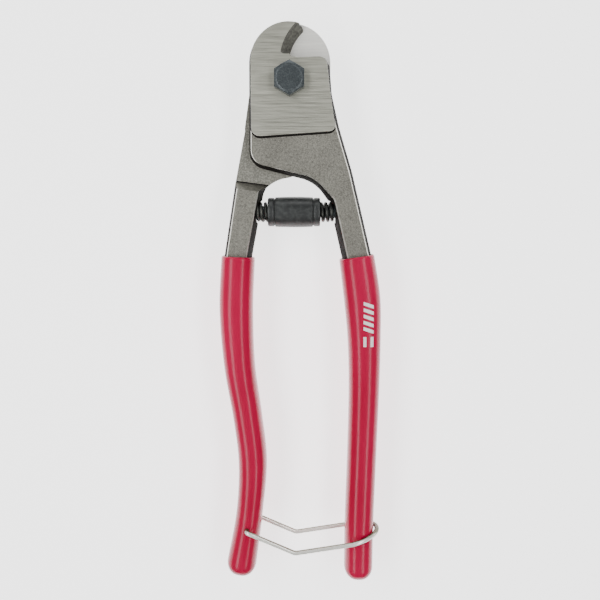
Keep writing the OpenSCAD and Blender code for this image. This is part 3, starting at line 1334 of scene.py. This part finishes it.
@dataclass
class Bail:
    """The latch: one wire from the left grip's hole, round the right grip and back. Sizes in millimetres."""

    hinge: tuple[float, float] = (-14.8, -151.8)
    kink: tuple[float, float] = (1.8, -159.0)
    reach: float = 45.3
    angle: float = -2.0
    leg: float = 8.9
    rise: float = 2.4
    bend: float = 1.0
    wire: float = 1.6

    def half(self) -> Points:
        """Centreline: straight up the hole, a quarter circle, two straights with a soft knee, a quarter ellipse.

        Returns:
            (n, 3) points from inside the hole to the far bend.
        """
        hinge, kink = np.array(self.hinge), np.array(self.kink)
        swing = np.radians(self.angle)
        far = hinge + self.reach * np.array([np.cos(swing), np.sin(swing)])
        foot = far - [self.leg, self.rise]
        way = (kink - hinge) / np.linalg.norm(kink - hinge)
        low = self.leg - self.bend
        inside = np.array([[*hinge, z] for z in (3.0, 4.5, 6.0, low - 0.2)])
        u = np.linspace(0, np.pi / 2, 7)[:, None]
        elbow = np.hstack([hinge + way * self.bend * (1 - np.cos(u)), low + self.bend * np.sin(u)])
        near, beyond = kink + (hinge - kink) * 0.045, kink + (foot - kink) * 0.045
        s = np.linspace(0, 1, 9)[:, None]
        knee = (1 - s) ** 2 * near + 2 * s * (1 - s) * kink + s**2 * beyond
        first = hinge + (kink - hinge) * np.linspace(0.12, 0.85, 6)[:, None]
        second = kink + (foot - kink) * np.linspace(0.2, 0.9, 6)[:, None]
        flat = np.vstack([first, knee, second])
        legs = np.column_stack([flat, np.full(len(flat), self.leg)])
        q = np.linspace(0, np.pi / 2, 15)
        loop = np.stack([foot[0] + self.leg * np.sin(q), foot[1] + self.rise * np.sin(q), self.leg * np.cos(q)], 1)
        return np.vstack([inside, elbow, legs, loop])

    def build(self, finish: bpy.types.Material) -> bpy.types.Object:
        """The whole wire, its rear half a mirror of the front one.

        Args:
            finish: the wire's plating.

        Returns:
            The finished piece.
        """
        half = self.half()
        path = np.vstack([half, (half * [1, 1, -1])[-2::-1]])
        points, faces = capped_rings(swept_rings(path, self.wire / 2, 16, (0, 1, 0)))
        obj = new_object("latch_bail_wire", points, faces, 60.0)
        face_outwards(obj)
        return seat(obj, "latch", "latch_bail", finish)


# ---------------------------------------------------------------- studio


@dataclass(frozen=True)
class SoftBox:
    """One soft light: where it stands, its level and its sloping side in millimetres, and its power in watts."""

    spot: Corner
    size: tuple[float, float]
    power: float


@dataclass
class Studio:
    """Camera, pale floor and soft lights. Sizes in millimetres, light spots from the floor."""

    eye: Corner = (6.5, -47.0, 250.0)
    aim: Corner = (3.4, -72.7, 0.0)
    lens: float = 44.04
    sensor: float = 36.0
    world: float = 0.2
    glow: float = 2.1
    floor_half: float = 1500.0
    lit: Corner = (0.0, -70.0, 0.0)
    boxes: list[SoftBox] = field(default_factory=lambda: [
        SoftBox((-250.0, -80.0, 420.0), (800.0, 150.0), 2.4),
        SoftBox((230.0, -80.0, 420.0), (800.0, 110.0), 1.7),
        SoftBox((0.0, 900.0, 300.0), (520.0, 220.0), 1.8),
    ])

    def camera(self) -> None:
        """A camera at the eye, aimed at the middle of the frame, with +Y of the object upright."""
        data = bpy.data.cameras.new("camera")
        data.sensor_width = self.sensor
        data.lens = self.lens
        data.clip_start = 10 * MM
        obj = bpy.data.objects.new("camera", data)
        bpy.context.scene.collection.objects.link(obj)
        eye, aim = (Vector(place(np.array(p)).tolist()) for p in (self.eye, self.aim))
        back = (eye - aim).normalized()
        right = Vector((0, 1, 0)).cross(back).normalized()
        turn = Matrix((right, back.cross(right), back)).transposed().to_4x4()
        obj.matrix_world = Matrix.Translation(eye) @ turn
        bpy.context.scene.camera = obj

    def light(self) -> None:
        """Long area lights aimed at the object, under an even pale world."""
        target = Vector(self.lit) * MM
        for i, box in enumerate(self.boxes):
            data = bpy.data.lights.new(f"softbox_{i}", "AREA")
            data.shape = "RECTANGLE"
            data.size, data.size_y = box.size[0] * MM, box.size[1] * MM
            data.energy = box.power
            obj = bpy.data.objects.new(f"softbox_{i}", data)
            obj.location = Vector(box.spot) * MM
            obj.rotation_euler = (obj.location - target).to_track_quat("Z", "Y").to_euler()
            bpy.context.scene.collection.objects.link(obj)
        world = bpy.data.worlds.new("studio")
        world.use_nodes = True
        background = world.node_tree.nodes["Background"]
        background.inputs["Color"].default_value = (1, 1, 1, 1)
        background.inputs["Strength"].default_value = self.world
        bpy.context.scene.world = world

    def floor(self) -> None:
        """A plain pale sheet that the tool lies on."""
        half = self.floor_half
        corners = np.array([[-half, -half, 0], [half, -half, 0], [half, half, 0], [-half, half, 0]])
        obj = new_object("floor", corners - [0, 0, SHEAR_Z], [[0, 1, 2, 3]], None)
        sheet = Sheet("pale_floor", {"Roughness": 0.9, "Specular IOR Level": 0.1,
                                     "Emission Color": (1, 1, 1, 1), "Emission Strength": self.glow})
        cloud = sheet.noise(4.0, detail=3.0)
        sheet.feed("Base Color", sheet.mix(cloud, (0.93, 0.93, 0.93, 1), (0.95, 0.95, 0.95, 1)))
        obj.data.materials.append(sheet.material)


# ---------------------------------------------------------------- the tool

# Centreline of each handle from the grip's mouth to the middle of its round end: x, y and the grip's width.
LEFT_HANDLE = np.array([(-17.6, -57.8, 11.3), (-18.4, -76, 11.4), (-17.4, -95.5, 10.5), (-14.8, -113, 9.9),
                        (-13.1, -129.5, 9.8), (-14.3, -147.3, 9.2), (-17.1, -165.4, 10.2)])
RIGHT_HANDLE = np.array([(22.6, -57.8, 11.9), (24.6, -72, 12.4), (25.4, -86, 11.3), (25.5, -103, 10.5),
                         (24.9, -127, 10.1), (24.2, -150, 10.0), (24.0, -166.8, 10.0)])


def arm_finishes() -> dict[Face, bpy.types.Material]:
    """The materials of an arm's faces.

    Returns:
        One material for each Face.
    """
    return {
        Face.GROUND: GroundSteel("ground_steel", (0.54, 0.54, 0.46, 1), (0.32, 0.32, 0.27, 1)).make(),
        # The near-white jaw colour is partly polished steel, partly a painted highlight.
        Face.MATING: MatingSteel("mating_face", (0.97, 0.96, 0.90, 1), (0.30, 0.294, 0.25, 1)).make(),
        Face.BLASTED: BlastedSteel("blasted_forging", (0.31, 0.304, 0.262, 1), (0.11, 0.105, 0.09, 1)).make(),
        # Near-black finish of the drafted sides, the hole walls and the step's groove: partly real forge scale, partly
        # painted shade.
        Face.FLANK: BlastedSteel("forge_scale_and_painted_shade", (0.016, 0.013, 0.012, 1), (0.006, 0.005, 0.004, 1), grain=1500.0,
                                 roughness=0.75, metallic=0.0, specular=0.12).make(),
        # The bevel is ground steel; its dark grey speckled colour is painted shade.
        Face.BEVEL: BlastedSteel("bevel_painted_shade", (0.17, 0.168, 0.145, 1), (0.055, 0.055, 0.046, 1), grain=1200.0,
                                 roughness=0.6, metallic=0.3, specular=0.3).make(),
        # Bright edge finish: partly real wear on the edges, partly painted highlight.
        Face.EDGE: GroundSteel("worn_edge_and_painted_highlight", (0.75, 0.74, 0.68, 1), (0.50, 0.49, 0.44, 1)).make(),
    }


def arms() -> list[Arm]:
    """Both arms. The rear one is drawn as a front arm too, so its handle is mirrored to the right.

    Returns:
        The front and the rear arm.
    """
    finishes, spring = arm_finishes(), SpringUnit()
    front = Arm("front_arm_forged", "front_arm", "right_half", Hand.FRONT,
                flank=[(13.1, 7.2, 3.0), (14.0, -4.0, 20.0), (16.4, -14.5, 30.0), (20.9, -29.4, 40.0)],
                crotch=[(13.3, -39.6, 5.0)], arch=(0.8, 32.0, 75.0), stations=RIGHT_HANDLE,
                inner_draft=1.7, seat_x=spring.right, finishes=finishes)
    rear = Arm("rear_arm_forged", "rear_arm", "left_half", Hand.REAR,
               flank=[(13.1, 7.2, 3.0), (13.5, -5.0, 20.0), (15.0, -15.5, 30.0), (18.4, -33.1, 40.0)],
               crotch=[(8.9, -36.8, 3.0)], arch=(-0.8, 46.0, 84.0), stations=LEFT_HANDLE * [-1, 1, 1],
               inner_draft=1.5, seat_x=-spring.left, finishes=finishes)
    return [front, rear]


def main() -> None:
    """Build every piece in order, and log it."""
    logging.basicConfig(level=logging.INFO, format="%(name)s: %(message)s")
    studio = Studio()
    studio.camera()
    studio.light()
    studio.floor()
    oxide = Coated("black_oxide", (0.05, 0.06, 0.065, 1), (0.10, 0.115, 0.12, 1), 0.5, 0.36, scale=2200.0).make()
    rubber = Coated("sleeve_rubber", (0.018, 0.02, 0.02, 1), (0.045, 0.05, 0.048, 1), 0.1, 0.4).make()
    black_wire = Coated("spring_black", (0.03, 0.032, 0.03, 1), (0.10, 0.10, 0.09, 1), 0.7, 0.38).make()
    # The wire's second colour is painted shade down its sides.
    nickel = NickelWire("bright_nickel", (0.98, 0.97, 0.90, 1), (0.10, 0.09, 0.05, 1)).make()
    nylon = Coated("nylon_ring", (0.10, 0.16, 0.36, 1), (0.14, 0.22, 0.44, 1), 0.0, 0.5).make()
    vinyl = DippedVinyl("dipped_vinyl").make()
    printed = DippedVinyl("dipped_vinyl_printed", PrintedBars()).make()
    pivot, spring = Pivot(), SpringUnit()
    pieces = [arm.build() for arm in arms()]
    pieces += [pivot.bolt(oxide), pivot.locknut(oxide), spring.coil(black_wire), spring.sleeve(rubber)]
    pieces += [Grip("left_grip_dipped", "left_grip", "left_half", LEFT_HANDLE).build(vinyl),
               Grip("right_grip_dipped", "right_grip", "right_half", RIGHT_HANDLE).build(printed),
               Bail().build(nickel)]
    for node, finish in (("left_spring_pin", oxide), ("right_spring_pin", oxide), ("nut_lock_ring", nylon)):
        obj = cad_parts[node]
        obj.data.materials.clear()
        obj.data.materials.append(finish)
        LOG.info("%s keeps its CAD shape, in %s", node, finish.name)
    for piece in pieces:
        LOG.info("%s: %d corners, %d faces", piece.name, len(piece.data.vertices), len(piece.data.polygons))


if __name__ == "__main__":
    main()
